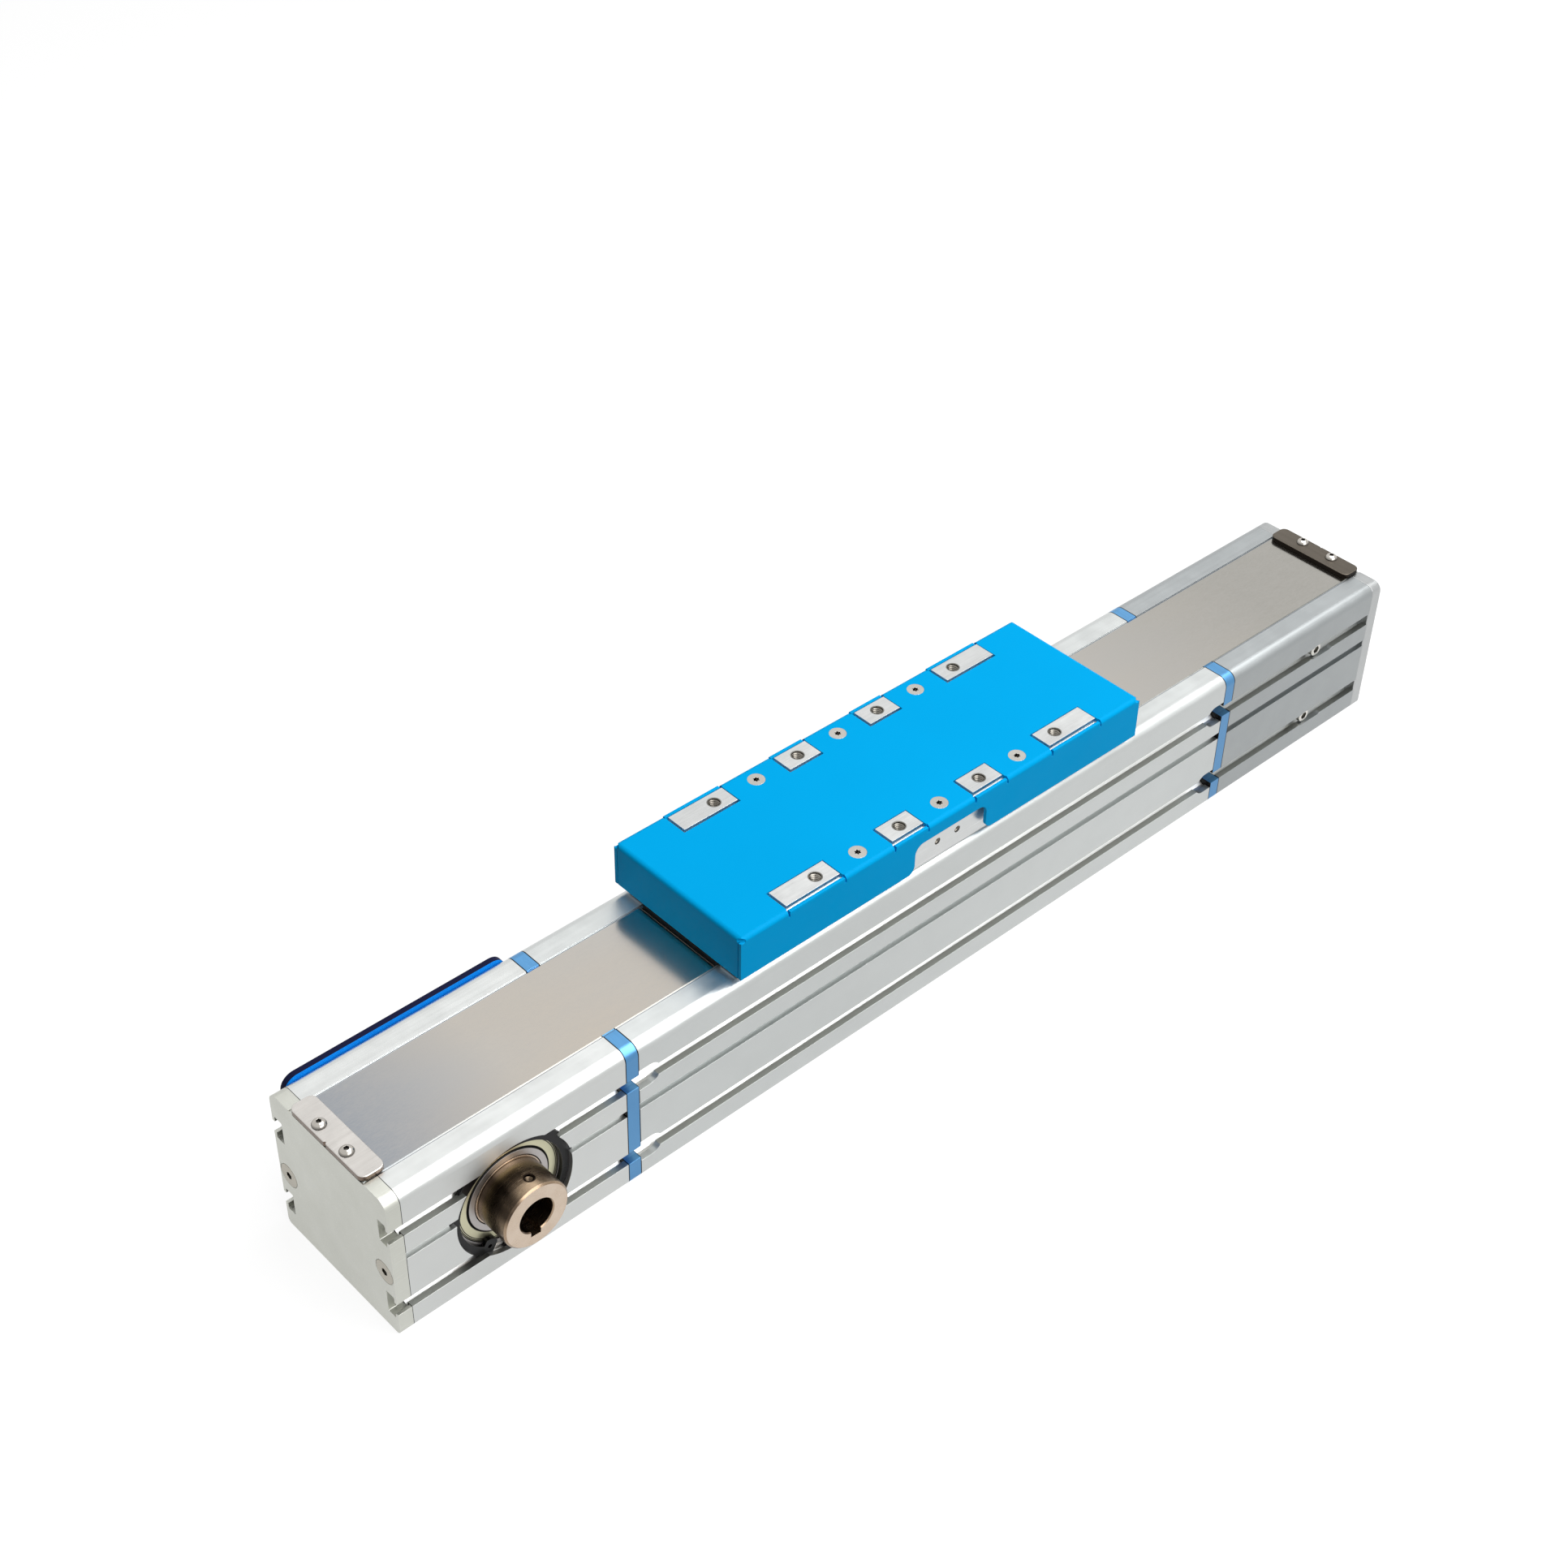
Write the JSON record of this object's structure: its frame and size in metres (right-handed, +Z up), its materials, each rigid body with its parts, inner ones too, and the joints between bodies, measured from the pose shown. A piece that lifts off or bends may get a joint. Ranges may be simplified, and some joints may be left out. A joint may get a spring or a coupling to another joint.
{
  "type": "belt driven linear axis",
  "caption": "Aluminium profile axis with a steel cover strip, hollow drive shaft and a wide carriage moved by a toothed belt.",
  "frame": {"origin": "centre of the base face, midway between the end plates", "axes": "+X from the drive head to the tail head, +Z up towards the carriage, -Y the side of the hub"},
  "size_m": [0.75, 0.1181, 0.1257],
  "materials": {
    "extrusion": "satin natural anodised",
    "end_plate": "milled",
    "blue_anodised": "satin blue anodised",
    "strip_steel": "brushed stainless",
    "bright_steel": "zinc plated",
    "hidden_screw": "black oxide",
    "bearing_steel": "ground",
    "bearing_shield": "stamped, greased",
    "spring_steel": "phosphated black",
    "shaft_steel": "turned",
    "pulley_metal": "machined",
    "saddle_metal": "machined",
    "cover_blue": "smooth satin powder coat",
    "belt": "matte",
    "buffer_rubber": "matte",
    "slide_plastic": "moulded",
    "magnet": "matte",
    "gasket_blue": "matte",
    "side_plate_navy": "satin"
  },
  "bodies": {
    "base": {"main_extrusion": "extrusion", "drive_head": "extrusion", "tail_head": "extrusion", "drive_joint_plate": "blue_anodised", "tail_joint_plate": "blue_anodised", "drive_end_plate": "end_plate", "tail_end_plate": "end_plate", "end_plate_screws": "bright_steel", "head_screws": "hidden_screw", "strip_drive_side": "strip_steel", "strip_tail_side": "strip_steel", "drive_strip_clamp": "strip_steel", "tail_strip_clamp": "strip_steel", "strip_clamp_screws": "bright_steel", "magnet_tapes": "magnet", "belt_return": "belt", "belt_drive_run": "belt", "belt_tail_run": "belt", "near_bearing_outer_ring": "bearing_steel", "near_bearing_shields": "bearing_shield", "far_bearing_outer_ring": "bearing_steel", "far_bearing_shields": "bearing_shield", "near_circlip": "spring_steel", "far_circlip": "spring_steel", "tail_bearing_inner_rings": "bearing_steel", "tail_axle": "bright_steel", "tension_yoke": "pulley_metal", "tension_screws": "bright_steel", "yoke_bolts": "bright_steel", "linear_rail": "bearing_steel", "rail_screws": "hidden_screw", "end_buffers": "buffer_rubber", "side_gasket": "gasket_blue", "side_plate": "side_plate_navy", "side_plate_screws": "hidden_screw", "slot_nuts": "bright_steel"},
    "carriage": {"saddle": "saddle_metal", "carriage_cover": "cover_blue", "cover_screws": "bright_steel", "drive_side_runner": "bearing_steel", "tail_side_runner": "bearing_steel", "runner_caps": "slide_plastic", "runner_screws": "hidden_screw", "bridge_liner": "slide_plastic", "strip_ramps": "slide_plastic", "wipers": "slide_plastic", "belt_jaws": "pulley_metal", "jaw_screws": "hidden_screw", "belt_ends": "belt", "strip_wave": "strip_steel"},
    "drive_rotor": {"drive_shaft": "shaft_steel", "drive_flanges": "pulley_metal", "near_bearing_inner_ring": "bearing_steel", "far_bearing_inner_ring": "bearing_steel"},
    "tail_rotor": {"tail_pulley": "pulley_metal", "tail_flanges": "pulley_metal", "tail_bearing_outer_rings": "bearing_steel"}
  },
  "joints": [
    {"name": "carriage_slide", "type": "slide", "parent": "base", "child": "carriage", "axis": [1, 0, 0], "range_m": [-0.067, 0.087], "deforming": ["strip_drive_side", "strip_tail_side", "belt_drive_run", "belt_tail_run"]},
    {"name": "drive_pulley_spin", "type": "hinge", "parent": "base", "child": "drive_rotor", "pos_m": [-0.303, 0, 0.0448], "axis": [0, 1, 0], "range_deg": [-151, 196], "deforming": ["belt_return"]},
    {"name": "tail_pulley_spin", "type": "hinge", "parent": "base", "child": "tail_rotor", "pos_m": [0.317, 0, 0.0448], "axis": [0, 1, 0], "range_deg": [-151, 196]}
  ],
  "couplings": [
    {"joint": "drive_pulley_spin", "follows": "carriage_slide", "rad_per_m": 39.27},
    {"joint": "tail_pulley_spin", "follows": "carriage_slide", "rad_per_m": 39.27}
  ]
}
